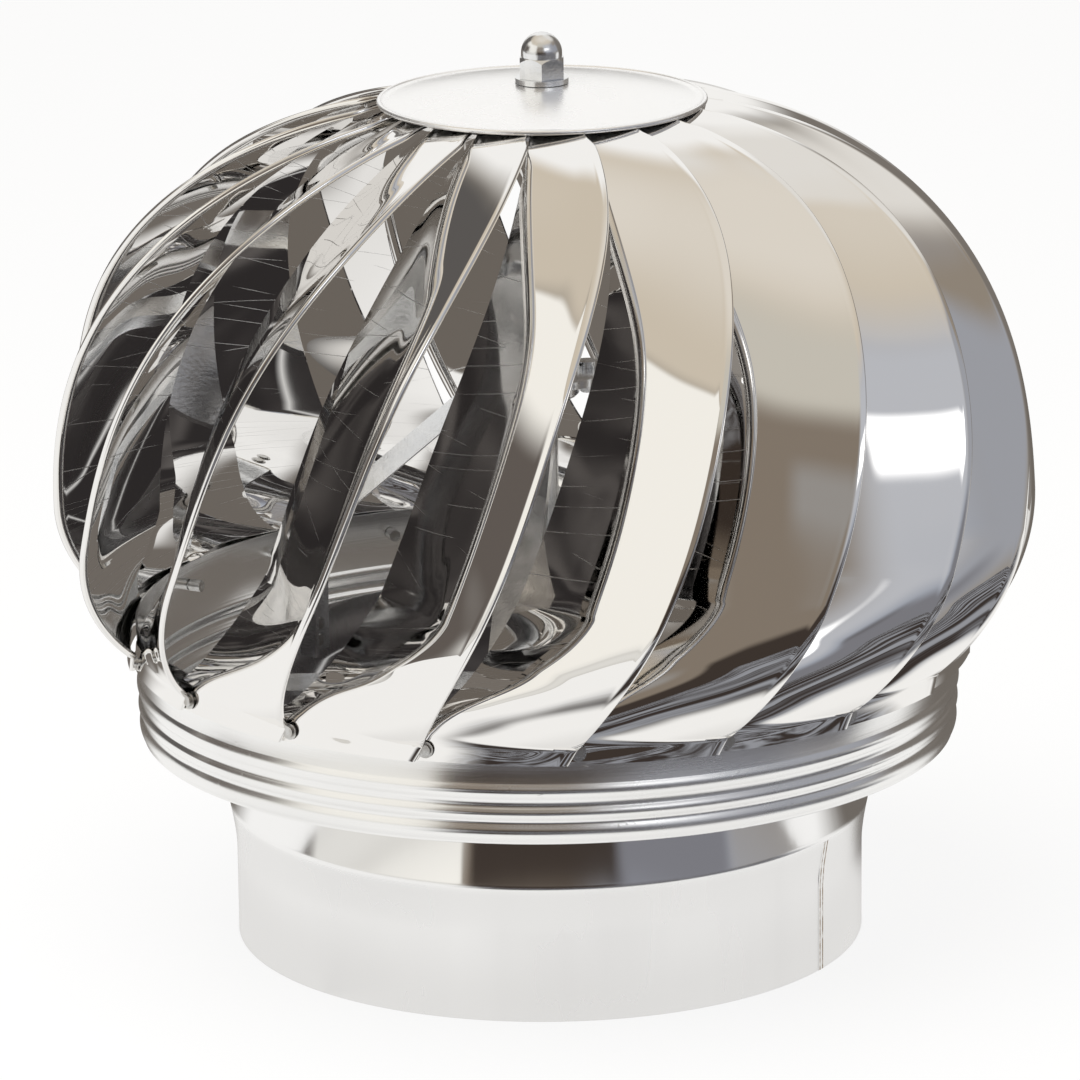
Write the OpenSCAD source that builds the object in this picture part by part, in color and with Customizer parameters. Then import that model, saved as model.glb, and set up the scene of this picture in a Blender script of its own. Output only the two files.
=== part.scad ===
/* [Collar] */
// Outside radius of the straight part of the spigot
spigot_r = 125; // [110:1:130]
// Height where the spigot begins to flare
flare_z = 35; // [20:1:40]
// Outside radius of the fold below the shoulder
fold_r = 127.5; // [126:0.5:132]
// Height of the fold
fold_z = 55.5; // [46:0.5:60]
// Outside radius of the neck
neck_r = 121; // [118:0.5:121]
// Height where the shoulder cone meets the neck
shoulder_z = 90; // [80:1:90]
// Height of the neck's upper rim
neck_top_z = 109; // [108:1:112]
// Thickness of all sheet metal
sheet = 0.8; // [0.6:0.1:0.9]
// Direction of the lapped seam, measured from the front towards the right
seam_angle = 58; // [0:1:359]
// Width of the lapped seam
seam_w = 4; // [3:0.5:8]

/* [Ball of blades] */
// Number of blades
blade_count = 18; // [17:1:18]
// Largest radius of the blade ridges
ball_r = 192.5; // [188:0.5:195]
// Height of the widest place
equator_z = 176.3; // [174:0.1:178]
// Height of the crown above the widest place
crown_h = 162.5; // [161:0.5:162.5]
// Squareness of the crown curve, where 2 is an ellipse
crown_power = 2.4; // [2.3:0.05:2.5]
// Radius where the blade tops end under the cap
blade_top_r = 52.8; // [50:0.2:55]
// Height of the lower edge of the blades
blade_foot_z = 116; // [115:0.5:118]
// Distance from the band's wall to the middle of a ridge at its foot
foot_standoff = 4; // [3.5:0.1:5]
// Height of the sharp bend above the foot
foot_bend_z = 122.5; // [121.5:0.5:124]
// Greatest depth of a blade's inner edge behind the ridges
blade_depth = 39.5; // [34:0.5:41]
// Swirl from the crown to the foot
swirl_angle = 33; // [28:0.5:34]
// Waviness of the swirl
swirl_sway = 1.6; // [0:0.1:2]
// Direction of the first ridge at the crown, measured from the front towards the right
first_ridge_angle = -5.3; // [-10:0.1:10]
// Angle that a blade spans across at the widest place
blade_span = 16.2; // [15:0.1:17]
// Angle added to that towards the crown
crown_span = 3; // [2:0.1:3.2]
// Angle added to it towards the foot, where the blades overlap
foot_span = 11; // [9:0.5:11.5]
// Hollow of a blade between its two edges
blade_hollow = 0.8; // [0:0.1:1.5]
// Width of the rolled hem along a ridge
hem_w = 4.8; // [4:0.1:5.4]
// Height of the hem above the sheet
hem_h = 1.4; // [1:0.1:1.6]

/* [Band] */
// Outside radius of the band at its upper edge
band_r = 163.3; // [160:0.1:164]
// How much narrower the band is at its lower lip
band_taper = 2.1; // [0.5:0.1:4]
// Height of the upper edge
band_top_z = 129.5; // [128:0.5:130]
// Height of the lower lip
band_lip_z = 83.4; // [82:0.1:84]
// How far the rolled beads stand out
bead_h = 1.2; // [0.8:0.1:1.6]

/* [Cap] */
// Radius of the cap disc
cap_r = 63.5; // [60:0.5:66]
// Height of the cap's rim
cap_rim_z = 335.3; // [335.3:0.1:336]
// Rise of the cap's dome above its rim
cap_rise = 7; // [6:0.5:9]
// Radius of the crown plate under the blade tops
crown_plate_r = 57; // [54:0.5:58]
// Height of the crown plate's upper face
crown_plate_z = 332.4; // [331:0.1:332.5]

/* [Spindle and bearings] */
// Radius of the spindle
spindle_r = 5; // [5:0.1:5]
// Width across the flats of the large nuts
nut_flats = 17; // [16:0.5:17]
// Outside radius of a bearing
bearing_r = 11; // [11:0.1:11]
// Width of a bearing
bearing_w = 6; // [6:0.1:6]
// Number of balls in a bearing
ball_count = 11; // [8:1:12]
// Height of the upper bearing's top face, level with the hub's disc
upper_bearing_z = 226.5; // [224:0.5:228]
// Height of the lower bearing's lower face
lower_bearing_z = 95; // [94:0.5:98]

/* [Legs and bracket] */
// Direction of the first leg, measured from the front towards the right
first_leg_angle = -127; // [-150:1:-105]
// Width of a leg
leg_w = 16; // [12:1:18]
// Thickness of a leg and of the lower bracket
leg_t = 2; // [1.5:0.5:2.5]
// Depth of the flange that stiffens a leg
flange_h = 8; // [6:1:9]
// Height where a leg bends inwards
leg_bend_z = 146; // [142:1:150]
// Radius where a leg bends level to lie under the hub's disc
leg_bend_r = 26; // [25:1:30]
// Width of the lower bracket
bracket_w = 24; // [20:1:28]

/* [Hidden] */
leg_count = 3;
BLADES = [for (i = [1 : blade_count]) str("blade_", i < 10 ? "0" : "", i)];
LEGS = [for (i = [1 : leg_count]) str("leg_", i)];

STAINLESS = [0.80, 0.80, 0.79];
BRIGHT = [0.88, 0.87, 0.84];
ZINC = [0.72, 0.74, 0.76];
STEEL = [0.55, 0.56, 0.58];

// Gap between faces that rest on each other, and gap between bodies that turn past each other
seat_gap = 0.05;
turn_gap = 0.35;
fit_gap = 0.02;
// Facets of large and small circles, and an overshoot that lets cuts pass through a face
round_fn = 96;
small_fn = 32;
cut = 1;

// A point from radius, direction from the front towards the right, and height
function polar(r, a, z) = [r * sin(a), -r * cos(a), z];
function unit(v) = v / norm(v);
function clamp01(x) = min(1, max(0, x));
function ease(x) = let (c = clamp01(x)) c * c * (3 - 2 * c);
// The left side of a path's corner, moved out by a distance so that the sheet keeps its thickness
function beside(path, i, distance) =
    let (
        last = len(path) - 1,
        before = unit(i > 0 ? path[i] - path[i - 1] : path[1] - path[0]),
        after = unit(i < last ? path[i + 1] - path[i] : path[last] - path[last - 1]),
        middle = unit(before + after),
        left = [-middle[1], middle[0]]
    )
    path[i] + left * distance / (left * [-before[1], before[0]]);
function thick_outline(path, distance) =
    concat(path, [for (i = [len(path) - 1 : -1 : 0]) beside(path, i, distance)]);

module at(a, r, z) {
    rotate([0, 0, a - 90]) translate([r, 0, z]) children();
}
// Sheet metal of revolution: its outer face runs upwards or inwards along the path
module spun_sheet(path, thickness = sheet) {
    rotate_extrude($fn = round_fn) polygon(thick_outline(path, thickness));
}
module hexagon_prism(flats, h) {
    rotate([0, 0, 30]) cylinder(r = flats / sqrt(3), h = h, $fn = 6);
}
// Hexagon with its corners turned down at the upper face
module chamfered_hexagon(flats, h) {
    corner_r = flats / sqrt(3);
    fall_h = corner_r * 0.16;
    intersection() {
        hexagon_prism(flats, h);
        rotate_extrude($fn = small_fn)
            polygon([[0, 0], [corner_r, 0], [corner_r, h - fall_h], [flats / 2, h], [0, h]]);
    }
}
module hex_nut(flats, bore_r, h) {
    difference() {
        chamfered_hexagon(flats, h);
        translate([0, 0, -cut]) cylinder(r = bore_r, h = h + 2 * cut, $fn = small_fn);
    }
}
module washer(r_out, r_in, h) {
    difference() {
        cylinder(r = r_out, h = h, $fn = small_fn * 2);
        translate([0, 0, -cut]) cylinder(r = r_in, h = h + 2 * cut, $fn = small_fn * 2);
    }
}
// Rivet along +X: the head sits on the outer face at x = 0, the shank and tail go inwards
module rivet(shank_r, grip, tail_h) {
    head_r = shank_r * 2;
    head_h = shank_r * 0.9;
    rotate([0, -90, 0]) {
        translate([0, 0, -head_h * 0.35]) cylinder(r = head_r, h = head_h * 0.35, $fn = small_fn);
        translate([0, 0, -head_h]) cylinder(r = head_r * 0.7, h = head_h, $fn = small_fn);
        cylinder(r = shank_r, h = grip + tail_h, $fn = small_fn);
        translate([0, 0, grip]) cylinder(r = shank_r * 1.5, h = tail_h, $fn = small_fn);
    }
}

// Collar: one spun sheet from the rim over the fold and the shoulder cone to the neck
fold_round = 1.2;
fold_ease = 0.25;
neck_round = 0.8;
neck_round_h = 4;
collar_path = [
    [spigot_r, 0],
    [spigot_r, flare_z],
    [spigot_r + (fold_r - spigot_r) * 0.25, flare_z + (fold_z - flare_z) * 0.4],
    [fold_r - fold_ease, fold_z - 2 * fold_round],
    [fold_r, fold_z - fold_round],
    [fold_r - fold_ease, fold_z],
    [neck_r + neck_round, shoulder_z - neck_round_h],
    [neck_r, shoulder_z],
    [neck_r, neck_top_z]
];
module collar() {
    color(STAINLESS) spun_sheet(collar_path);
}
// Seam: a thin lapped strip that follows the spigot's wall
seam_t = 0.25;
module seam_weld() {
    strip = [for (i = [0 : 3]) beside(collar_path, i, -seam_t)];
    color(STEEL)
    intersection() {
        spun_sheet(strip, seam_t - fit_gap);
        at(seam_angle, 0, 0) translate([0, -seam_w / 2, 0])
            cube([max(fold_r, spigot_r) + 2 * cut, seam_w, fold_z]);
    }
}

// Legs: folded straps from the neck's inside up to the hub's disc
hub_r = 13.5;
hub_disc_t = 3;
leg_r = sqrt(pow(neck_r - sheet - seat_gap, 2) - pow(leg_w / 2, 2));
leg_top_z = upper_bearing_z - hub_disc_t - seat_gap;
leg_foot_h = 17;
leg_hub_gap = 0.7;
leg_path = [
    [leg_r, neck_top_z - leg_foot_h],
    [leg_r, leg_bend_z],
    [leg_bend_r, leg_top_z],
    [hub_r + leg_hub_gap, leg_top_z]
];
// Distances of a leg's two rivets below the neck's rim
leg_rivet_drops = [12, 5];
hub_bolt_ring_r = 18.2;
bolt_r = 2.5;
function leg_angle(i) = first_leg_angle + 360 / leg_count * (i - 1);
module strap(path, depth, width) {
    translate([0, width / 2, 0]) rotate([90, 0, 0])
        linear_extrude(width) polygon(thick_outline(path, depth));
}
module leg(i) {
    color(ZINC)
    difference() {
        at(leg_angle(i), 0, 0) {
            strap(leg_path, leg_t, leg_w);
            translate([0, (leg_w - leg_t) / 2, 0]) strap(leg_path, flange_h, leg_t);
        }
        at(leg_angle(i), hub_bolt_ring_r, leg_top_z - 2 * leg_t)
            cylinder(r = bolt_r + seat_gap, h = 4 * leg_t, $fn = small_fn);
    }
}
leg_rivet_r = 1.6;
rivet_tail_h = 2;
module leg_rivets() {
    color(STEEL)
    for (i = [1 : leg_count], drop = leg_rivet_drops)
        at(leg_angle(i), neck_r, neck_top_z - drop) rivet(leg_rivet_r, neck_r - leg_r + leg_t, rivet_tail_h);
}

// Hub: a disc on a bush that holds the upper bearing
hub_disc_r = 22.5;
hub_lip_r = 9.5;
hub_lip_h = 3.5;
hub_round = 1.2;
hub_bottom_z = upper_bearing_z - bearing_w - hub_lip_h;
module hub() {
    color(ZINC)
    difference() {
        union() {
            translate([0, 0, upper_bearing_z - hub_disc_t])
                cylinder(r = hub_disc_r, h = hub_disc_t, $fn = round_fn);
            rotate_extrude($fn = round_fn)
                polygon([[0, hub_bottom_z], [hub_r - hub_round, hub_bottom_z],
                         [hub_r, hub_bottom_z + hub_round], [hub_r, upper_bearing_z - cut],
                         [0, upper_bearing_z - cut]]);
        }
        translate([0, 0, upper_bearing_z - bearing_w])
            cylinder(r = bearing_r + fit_gap, h = bearing_w + cut, $fn = round_fn);
        translate([0, 0, hub_bottom_z - cut])
            cylinder(r = hub_lip_r, h = hub_lip_h + 2 * cut, $fn = round_fn);
        for (i = [1 : leg_count])
            at(leg_angle(i), hub_bolt_ring_r, upper_bearing_z - hub_disc_t - cut)
                cylinder(r = bolt_r + seat_gap, h = hub_disc_t + 2 * cut, $fn = small_fn);
    }
}
module hub_bolts() {
    grip = hub_disc_t + leg_t + 3 * seat_gap;
    color(STEEL)
    for (i = [1 : leg_count])
        at(leg_angle(i), hub_bolt_ring_r, upper_bearing_z + seat_gap) {
            cylinder(r = bolt_r * 1.6, h = bolt_r, $fn = small_fn);
            translate([0, 0, -grip - 2 * bolt_r]) cylinder(r = bolt_r, h = grip + 3 * bolt_r, $fn = small_fn);
            translate([0, 0, -grip - 1.6 * bolt_r]) hexagon_prism(bolt_r * 3.2, bolt_r * 1.6);
        }
}

// Lower bracket: a bar across the neck with turned-up ends and a bush for the lower bearing
bracket_drop = 3;
bracket_z = lower_bearing_z + bearing_w - bracket_drop;
bracket_r = sqrt(pow(neck_r - sheet - seat_gap, 2) - pow(bracket_w / 2, 2));
bracket_end_drop = 1;
bracket_end_z = neck_top_z - bracket_end_drop;
bracket_rivet_z = (bracket_z + leg_t + bracket_end_z) / 2;
bracket_path = [
    [-bracket_r, bracket_end_z],
    [-bracket_r, bracket_z],
    [bracket_r, bracket_z],
    [bracket_r, bracket_end_z]
];
module lower_bracket() {
    lip_z = lower_bearing_z + bearing_w;
    color(ZINC)
    difference() {
        union() {
            strap(bracket_path, leg_t, bracket_w);
            translate([0, 0, lower_bearing_z]) cylinder(r = hub_r, h = bearing_w + hub_lip_h, $fn = round_fn);
        }
        translate([0, 0, lower_bearing_z - cut])
            cylinder(r = bearing_r + fit_gap, h = bearing_w + cut, $fn = round_fn);
        translate([0, 0, lip_z - cut]) cylinder(r = hub_lip_r, h = hub_lip_h + 2 * cut, $fn = round_fn);
    }
}
module bracket_rivets() {
    shift = bracket_w / 4;
    color(STEEL)
    for (end_angle = [-90, 90], side = [-shift, shift])
        at(end_angle, 0, bracket_rivet_z) translate([sqrt(pow(neck_r, 2) - pow(shift, 2)), side, 0])
            rivet(leg_rivet_r, neck_r - bracket_r + leg_t, rivet_tail_h);
}

// Bearings: two grooved rings with a set of balls between them
bearing_ball_r = 1.5;
bearing_pitch_r = 8;
inner_ring_r = 6.9;
outer_ring_r = 9.2;
module grooved_ring(r_in, r_out, groove_r) {
    difference() {
        washer(r_out, r_in, bearing_w);
        translate([0, 0, bearing_w / 2])
            rotate_extrude($fn = round_fn) translate([bearing_pitch_r, 0]) circle(r = groove_r, $fn = small_fn);
    }
}
module outer_ring(z) {
    color(STEEL) translate([0, 0, z]) grooved_ring(outer_ring_r, bearing_r, bearing_ball_r + turn_gap);
}
module inner_ring(z) {
    color(STEEL) translate([0, 0, z])
        grooved_ring(spindle_r + fit_gap, inner_ring_r, bearing_ball_r + seat_gap);
}
module ball_set(z) {
    color(STEEL)
    for (i = [1 : ball_count])
        at(360 / ball_count * i, bearing_pitch_r, z + bearing_w / 2) sphere(r = bearing_ball_r, $fn = small_fn);
}

// Band: a ring with three rolled beads, a little narrower at its lip
band_lip_r = band_r - band_taper;
bead_spans = [[83.9, 91.5], [92.5, 98.3], [100.8, 107.5]];
bead_steps = 6;
function band_wall_r(z) = band_lip_r + (band_r - band_lip_r) * (z - band_lip_z) / (band_top_z - band_lip_z);
band_path = concat(
    [[band_lip_r - 1, band_lip_z], [band_lip_r, band_lip_z]],
    [for (b = bead_spans, i = [0 : bead_steps])
        let (z = b[0] + (b[1] - b[0]) * i / bead_steps)
        [band_wall_r(z) + bead_h * sin(180 * i / bead_steps), z]],
    [[band_r, band_top_z]]
);
module band() {
    color(STAINLESS) spun_sheet(band_path);
}

// Cap: a domed disc with a rolled rim, above the blade tops; the crown plate lies below them
rim_roll_r = 1;
cap_steps = 12;
module cap_disc() {
    hole_r = spindle_r + seat_gap;
    dome = [for (i = [0 : cap_steps])
        let (r = cap_r + (hole_r - cap_r) * i / cap_steps)
        [r, cap_rim_z + cap_rise * (1 - pow(r / cap_r, 2))]];
    color(STAINLESS) {
        spun_sheet(dome);
        translate([0, 0, cap_rim_z - sheet + rim_roll_r])
            rotate_extrude($fn = round_fn) translate([cap_r, 0]) circle(r = rim_roll_r, $fn = small_fn);
    }
}
module crown_plate() {
    color(STAINLESS) translate([0, 0, crown_plate_z - 2 * sheet])
        washer(crown_plate_r, spindle_r + seat_gap, 2 * sheet);
}

// Spindle and the nuts and washers on it
cap_top_z = cap_rim_z + cap_rise;
cap_washer_h = 2;
cap_nut_hex_h = 8;
cap_nut_dome_r = 8;
washer_r = 10.5;
end_washer_h = 0.6;
nut_h = 8;
jam_nut_h = 5;
cap_nut_z = cap_top_z + cap_washer_h + 2 * seat_gap;
spindle_top_z = cap_nut_z + cap_nut_hex_h;
spindle_tail = 3;
spindle_bottom_z = lower_bearing_z - end_washer_h - nut_h - spindle_tail;
module spindle() {
    tip = 1;
    color(ZINC)
    rotate_extrude($fn = small_fn * 2)
        polygon([[0, spindle_bottom_z], [spindle_r - tip, spindle_bottom_z],
                 [spindle_r, spindle_bottom_z + tip], [spindle_r, spindle_top_z - tip],
                 [spindle_r - tip, spindle_top_z], [0, spindle_top_z]]);
}
module cap_washer() {
    color(ZINC) translate([0, 0, cap_top_z + seat_gap])
        washer(washer_r, spindle_r + seat_gap, cap_washer_h);
}
module cap_nut() {
    dome_z = cap_nut_hex_h * 1.2;
    color(ZINC) translate([0, 0, cap_nut_z])
    difference() {
        union() {
            chamfered_hexagon(nut_flats, cap_nut_hex_h);
            cylinder(r = cap_nut_dome_r, h = dome_z, $fn = round_fn);
            translate([0, 0, dome_z]) intersection() {
                sphere(r = cap_nut_dome_r, $fn = round_fn);
                cylinder(r = cap_nut_dome_r + cut, h = cap_nut_dome_r + cut, $fn = small_fn);
            }
        }
        translate([0, 0, -cut])
            cylinder(r = spindle_r + fit_gap, h = cap_nut_hex_h + 2 * cut, $fn = round_fn);
    }
}
lock_washer_z = crown_plate_z - 2 * sheet - seat_gap - cap_washer_h;
module lock_washer() {
    color(ZINC) translate([0, 0, lock_washer_z]) washer(washer_r, spindle_r + seat_gap, cap_washer_h);
}
module lock_nut() {
    color(ZINC) translate([0, 0, lock_washer_z - seat_gap]) mirror([0, 0, 1])
        hex_nut(nut_flats, spindle_r + fit_gap, nut_h);
}
module shoulder_nut() {
    color(ZINC) translate([0, 0, upper_bearing_z + seat_gap]) {
        washer(inner_ring_r - 0.3, spindle_r + fit_gap, end_washer_h);
        translate([0, 0, end_washer_h]) hex_nut(nut_flats, spindle_r + fit_gap, jam_nut_h);
    }
}
module end_washer() {
    color(ZINC) translate([0, 0, lower_bearing_z - seat_gap - end_washer_h])
        washer(inner_ring_r - 0.3, spindle_r + fit_gap, end_washer_h);
}
module end_nut() {
    color(ZINC) translate([0, 0, lower_bearing_z - 2 * seat_gap - end_washer_h]) mirror([0, 0, 1])
        hex_nut(nut_flats, spindle_r + fit_gap, nut_h);
}

// Ridge of a blade in the plane of radius and height. Its station runs from -1 at the crown
// over 0 at the widest place to 1 at the foot.
crown_angle = acos(pow(blade_top_r / ball_r, crown_power / 2));
foot_drop = equator_z - blade_foot_z;
bend_drop = equator_z - foot_bend_z;
foot_r = band_r + foot_standoff;
function crown_point(u) = [
    ball_r * pow(cos(u), 2 / crown_power),
    equator_z + crown_h * pow(sin(u), 2 / crown_power)
];
function lower_point(drop) = [
    foot_r + (ball_r - foot_r) * pow(1 - pow(clamp01(drop / bend_drop), 1.5), 0.75),
    equator_z - drop
];
function ridge_point(s) = s < 0 ? crown_point(-s * crown_angle) : lower_point(s * foot_drop);
// Direction of the ridge at a height
blade_top_z = crown_point(crown_angle)[1];
function fall(z) = (blade_top_z - z) / (blade_top_z - blade_foot_z);
function ridge_angle(z) = first_ridge_angle - swirl_angle * fall(z) - swirl_sway * sin(360 * fall(z));
// Inner edge: its depth behind the ridge, square to the ball, and the angle from it to the ridge
function crown_share(s) = (ridge_point(s)[1] - equator_z) / (blade_top_z - equator_z);
function edge_depth(s) = s < 0
    ? blade_depth * pow(1 - pow(min(0.999, crown_share(s)), 2.6), 0.8)
    : foot_standoff + (blade_depth - foot_standoff) * pow(1 - pow(s, 1.5), 0.9);
function edge_span(s) = s < 0
    ? blade_span + crown_span * s * s
    : blade_span + foot_span * (0.3 * s * s + 0.7 * pow(s, 6));
station_step = 0.004;
function ridge_normal(s) =
    let (d = unit(ridge_point(min(1, s + station_step)) - ridge_point(max(-1, s - station_step))))
    [-d[1], d[0]];
edge_seat_gap = 0.45;
edge_seat_r = band_r + sheet / 2 + edge_seat_gap;
// Heights above the band where the inner edge starts to swing out to its seat, and where it reaches it
edge_swing_h = 26;
edge_seat_h = 2;
function edge_point(s) =
    let (
        p = ridge_point(s) - edge_depth(s) * ridge_normal(s),
        swing = ease((band_top_z + edge_swing_h - p[1]) / (edge_swing_h - edge_seat_h))
    )
    [p[0] + swing * max(0, edge_seat_r - p[0]), p[1]];

// A point on the middle of the sheet: q is 0 at the inner edge and 1 at the ridge
function panel_point(s, q) =
    let (
        ridge = ridge_point(s),
        edge = edge_point(s),
        hollow = blade_hollow * 4 * q * (1 - q) * ease(4 * (1 - abs(s))),
        p = edge + (ridge - edge) * q
    )
    polar(p[0] - hollow, ridge_angle(ridge[1]) - (1 - q) * edge_span(s), p[1]);
function panel_normal(s, q) =
    let (
        e = 0.01,
        across = panel_point(s, q + e) - panel_point(s, q - e),
        along = panel_point(min(1, s + e), q) - panel_point(max(-1, s - e), q)
    )
    unit(cross(across, along));
// The hem fades out under the cap
hem_start_r = 64;
hem_full_r = 76;
function hem_size(s) = ease((ridge_point(s)[0] - hem_start_r) / (hem_full_r - hem_start_r));
// A point beside the ridge: t to the right along the sheet, h off its middle
function hem_point(s, t, h) =
    let (across = unit(panel_point(s, 1) - panel_point(s, 0.98)))
    panel_point(s, 1) + across * t * max(0.15, hem_size(s)) + panel_normal(s, 1) * h;

crown_steps = 13;
foot_steps = 8;
foot_crowding = 1.6;
stations = concat(
    [for (i = [0 : crown_steps - 1]) -1 + i / crown_steps],
    [for (i = [0 : foot_steps]) 1 - pow(1 - i / foot_steps, foot_crowding)]
);
outer_shares = [0, 0.2, 0.4, 0.6, 0.8];
inner_shares = [0.88, 0.65, 0.42, 0.2, 0];
function blade_ring(s) =
    let (half = sheet / 2, rib = hem_w / 2, swell = hem_size(s) * hem_h)
    concat(
        [for (q = outer_shares) panel_point(s, q) + panel_normal(s, q) * half],
        [hem_point(s, -rib, half), hem_point(s, -rib * 0.6, half + swell * 0.85),
         hem_point(s, rib * 0.5, half + swell), hem_point(s, rib, swell * 0.4),
         hem_point(s, rib * 0.8, -half)],
        [for (q = inner_shares) panel_point(s, q) - panel_normal(s, q) * half]
    );
module blade(i) {
    rings = [for (s = stations) blade_ring(s)];
    n = len(rings[0]);
    last = len(rings) - 1;
    walls = [for (j = [0 : last - 1], k = [0 : n - 1])
        let (a = j * n + k, b = j * n + (k + 1) % n) each [[a, b + n, b], [a, a + n, b + n]]];
    top_end = [for (k = [0 : n - 1]) k];
    foot_end = [for (k = [n - 1 : -1 : 0]) last * n + k];
    color(BRIGHT) rotate([0, 0, 360 / blade_count * (i - 1)])
        polyhedron(points = [for (ring = rings) each ring], faces = concat(walls, [top_end, foot_end]));
}

// Pop rivets beside each ridge's foot, through the next blade and the band
blade_rivet_r = 1.6;
blade_rivet_z = 120.5;
blade_rivet_shift = 2.1;
blade_rivet_tail_h = 5;
rivet_head_r = edge_seat_r + sheet / 2 + foot_standoff * 0.3;
module blade_rivets() {
    foot_angle = ridge_angle(blade_foot_z) + blade_rivet_shift;
    color(STEEL)
    for (i = [1 : blade_count])
        at(foot_angle + 360 / blade_count * i, rivet_head_r, blade_rivet_z)
            rivet(blade_rivet_r, rivet_head_r - band_r + 2 * sheet, blade_rivet_tail_h);
}

collar();
seam_weld();
for (i = [1 : leg_count]) leg(i);
leg_rivets();
hub();
hub_bolts();
lower_bracket();
bracket_rivets();
outer_ring(upper_bearing_z - bearing_w);  // upper_outer_ring
outer_ring(lower_bearing_z);  // lower_outer_ring
cap_disc();
crown_plate();
band();
for (i = [1 : blade_count]) blade(i);
blade_rivets();
spindle();
cap_nut();
cap_washer();
lock_nut();
lock_washer();
shoulder_nut();
inner_ring(upper_bearing_z - bearing_w);  // upper_inner_ring
ball_set(upper_bearing_z - bearing_w);  // upper_balls
inner_ring(lower_bearing_z);  // lower_inner_ring
ball_set(lower_bearing_z);  // lower_balls
end_nut();
end_washer();
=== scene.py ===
import math
import bpy
import numpy as np
from mathutils import Matrix, Vector


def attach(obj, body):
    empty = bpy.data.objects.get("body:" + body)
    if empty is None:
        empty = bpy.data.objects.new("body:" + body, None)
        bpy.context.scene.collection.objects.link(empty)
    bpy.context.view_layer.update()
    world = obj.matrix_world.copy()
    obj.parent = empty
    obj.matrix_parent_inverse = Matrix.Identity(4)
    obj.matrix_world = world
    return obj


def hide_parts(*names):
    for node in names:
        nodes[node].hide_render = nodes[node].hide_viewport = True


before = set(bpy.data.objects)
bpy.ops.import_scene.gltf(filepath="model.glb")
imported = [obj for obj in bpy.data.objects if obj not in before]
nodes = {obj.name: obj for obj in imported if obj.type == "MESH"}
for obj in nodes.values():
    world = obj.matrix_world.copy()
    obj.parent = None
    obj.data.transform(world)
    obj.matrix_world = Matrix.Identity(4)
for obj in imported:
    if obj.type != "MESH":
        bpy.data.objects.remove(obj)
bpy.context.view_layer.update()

# Driving sizes in metres, the same as the part's own
MM = 0.001
SHEET = 0.8 * MM
BLADE_COUNT = 18
BALL_R = 192.5 * MM
EQUATOR_Z = 176.3 * MM
CROWN_H = 162.5 * MM
CROWN_POWER = 2.4
BLADE_TOP_R = 52.8 * MM
BLADE_FOOT_Z = 116 * MM
FOOT_STANDOFF = 4 * MM
FOOT_BEND_Z = 122.5 * MM
BLADE_DEPTH = 39.5 * MM
SWIRL_ANGLE = 33
SWIRL_SWAY = 1.6
FIRST_RIDGE_ANGLE = -5.3
BLADE_SPAN = 16.2
CROWN_SPAN = 3
FOOT_SPAN = 11
BLADE_HOLLOW = 0.8 * MM
EDGE_SWING_H = 26 * MM
EDGE_SEAT_H = 2 * MM
EDGE_SEAT_GAP = 0.45 * MM
HEM_W = 4.8 * MM
HEM_H = 1.4 * MM
HEM_START_R = 64 * MM
HEM_FULL_R = 76 * MM
BAND_R = 163.3 * MM
BAND_TAPER = 2.1 * MM
BAND_LIP_R = BAND_R - BAND_TAPER
BAND_TOP_Z = 129.5 * MM
BAND_LIP_Z = 83.4 * MM
BEAD_H = 1.2 * MM
BEAD_SPANS = [(83.9 * MM, 91.5 * MM), (92.5 * MM, 98.3 * MM), (100.8 * MM, 107.5 * MM)]
SPIGOT_R = 125 * MM
FLARE_Z = 35 * MM
FOLD_R = 127.5 * MM
FOLD_Z = 55.5 * MM
NECK_R = 121 * MM
SHOULDER_Z = 90 * MM
NECK_TOP_Z = 109 * MM
SEAM_ANGLE = 58
CAP_R = 63.5 * MM
CAP_RIM_Z = 335.3 * MM
CAP_RISE = 7 * MM
SPINDLE_HOLE_R = 5.05 * MM

# Sizes of this script alone: how far a blade's inner edge leans back below the widest place, half the
# distance between the seam's two lines, and where the crinkled spots lie
LOWER_LEAN = 0.35
SEAM_LINE_OFF = 1.0 * MM
CRINKLE_ANGLE = 40
CRINKLE_REACH = 145 * MM
CRINKLE_TOP_Z = 162 * MM


# Shape functions on numpy arrays

def smooth(x):
    c = np.clip(x, 0, 1)
    return c * c * (3 - 2 * c)


def unit(v):
    return v / np.linalg.norm(v, axis=-1, keepdims=True)


def polar(r, degrees, z):
    """Points from radius, direction from the front towards the right, and height."""
    a = np.radians(degrees)
    return np.stack([r * np.sin(a), -r * np.cos(a), z], axis=-1)


CROWN_ANGLE = math.acos((BLADE_TOP_R / BALL_R) ** (CROWN_POWER / 2))
FOOT_DROP = EQUATOR_Z - BLADE_FOOT_Z
BEND_DROP = EQUATOR_Z - FOOT_BEND_Z
FOOT_R = BAND_R + FOOT_STANDOFF
BLADE_TOP_Z = EQUATOR_Z + CROWN_H * math.sin(CROWN_ANGLE) ** (2 / CROWN_POWER)


def ridge_point(s):
    """Radius and height of a ridge: s is -1 at the crown, 0 at the widest place and 1 at the foot."""
    u = np.clip(-s, 0, 1) * CROWN_ANGLE
    drop = np.clip(s, 0, 1) * FOOT_DROP
    crown_r = BALL_R * np.cos(u) ** (2 / CROWN_POWER)
    crown_z = EQUATOR_Z + CROWN_H * np.sin(u) ** (2 / CROWN_POWER)
    lower_r = FOOT_R + (BALL_R - FOOT_R) * (1 - np.clip(drop / BEND_DROP, 0, 1) ** 2) ** 0.9
    r = np.where(s < 0, crown_r, lower_r)
    z = np.where(s < 0, crown_z, EQUATOR_Z - drop)
    return np.stack([r, z], axis=-1)


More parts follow.
